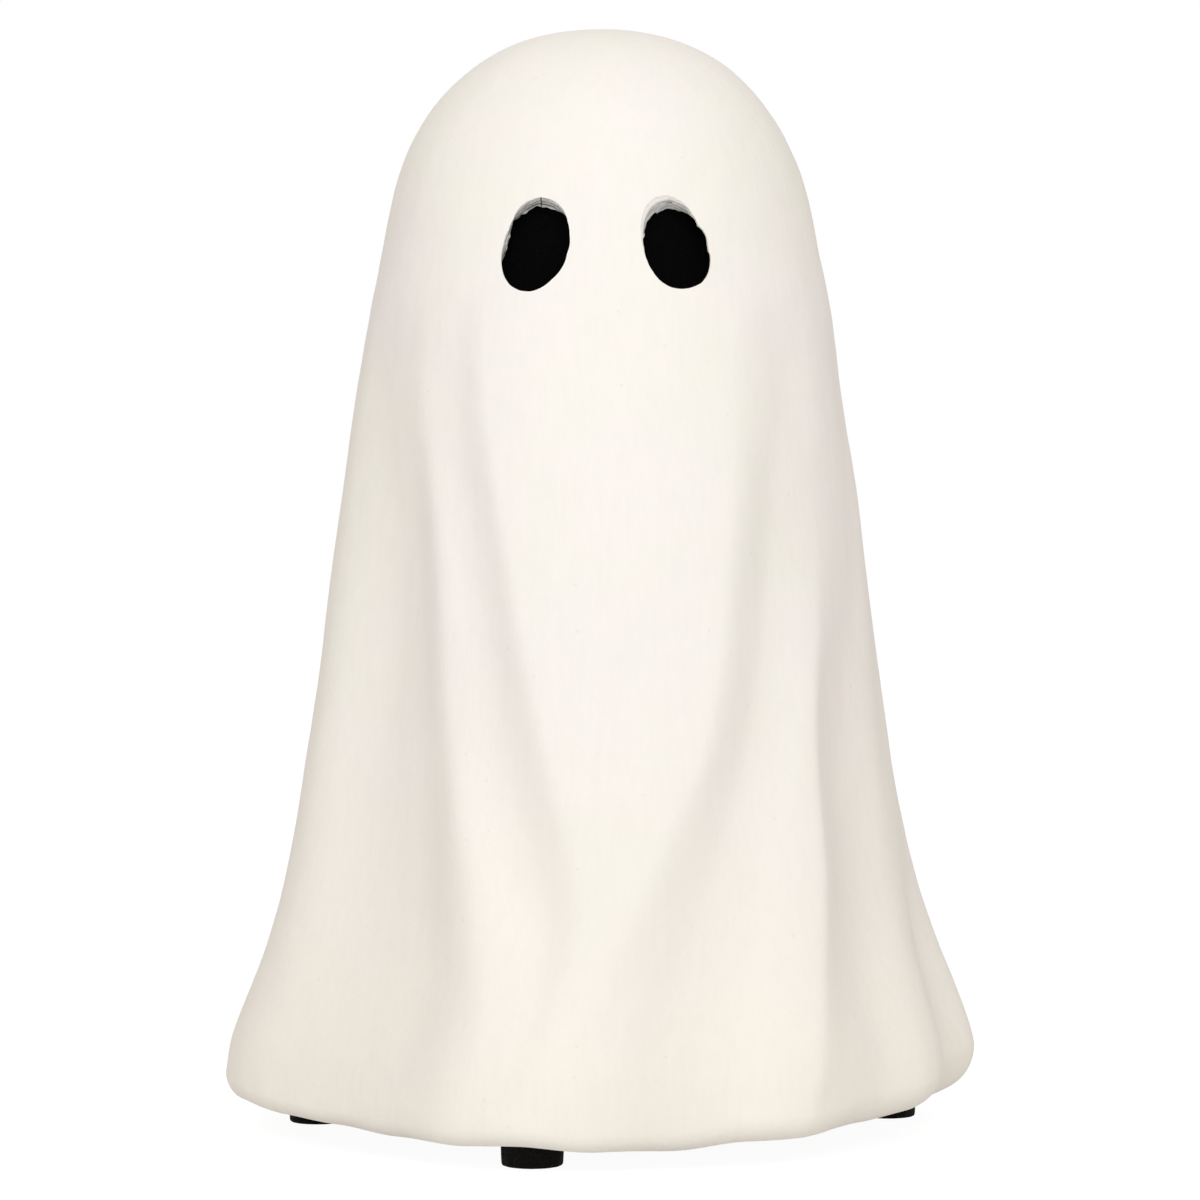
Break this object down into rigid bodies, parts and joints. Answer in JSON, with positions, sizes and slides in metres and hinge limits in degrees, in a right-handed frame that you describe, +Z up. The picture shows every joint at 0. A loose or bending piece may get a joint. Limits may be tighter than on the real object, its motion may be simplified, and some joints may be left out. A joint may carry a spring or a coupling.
{
  "type": "paper mache ghost",
  "caption": "Sheet-draped ghost figure with a folded skirt and two cut eye holes, a hollow paper mache shell that stands on foam pads.",
  "frame": {"origin": "on the surface the ghost stands on, under the middle of its hem", "axes": "+Z up, the face looks along -Y, +X to the viewer's right"},
  "size_m": [0.2424, 0.2477, 0.3555],
  "materials": {
    "painted_papier_mache": "matt off-white paint over laminated paper",
    "greyboard": "bare, matt",
    "black_felt": "dense black felt",
    "black_foam": "closed-cell foam, matt",
    "adhesive_disc": "double-sided paper tape"
  },
  "bodies": {
    "root": {"ghost_shell": "painted_papier_mache", "base_board": "greyboard", "eye_backing_left": "black_felt", "eye_backing_right": "black_felt", "foot_front": "black_foam", "foot_right": "black_foam", "foot_back": "black_foam", "foot_left": "black_foam", "foot_tape_front": "adhesive_disc", "foot_tape_right": "adhesive_disc", "foot_tape_back": "adhesive_disc", "foot_tape_left": "adhesive_disc"}
  },
  "joints": []
}
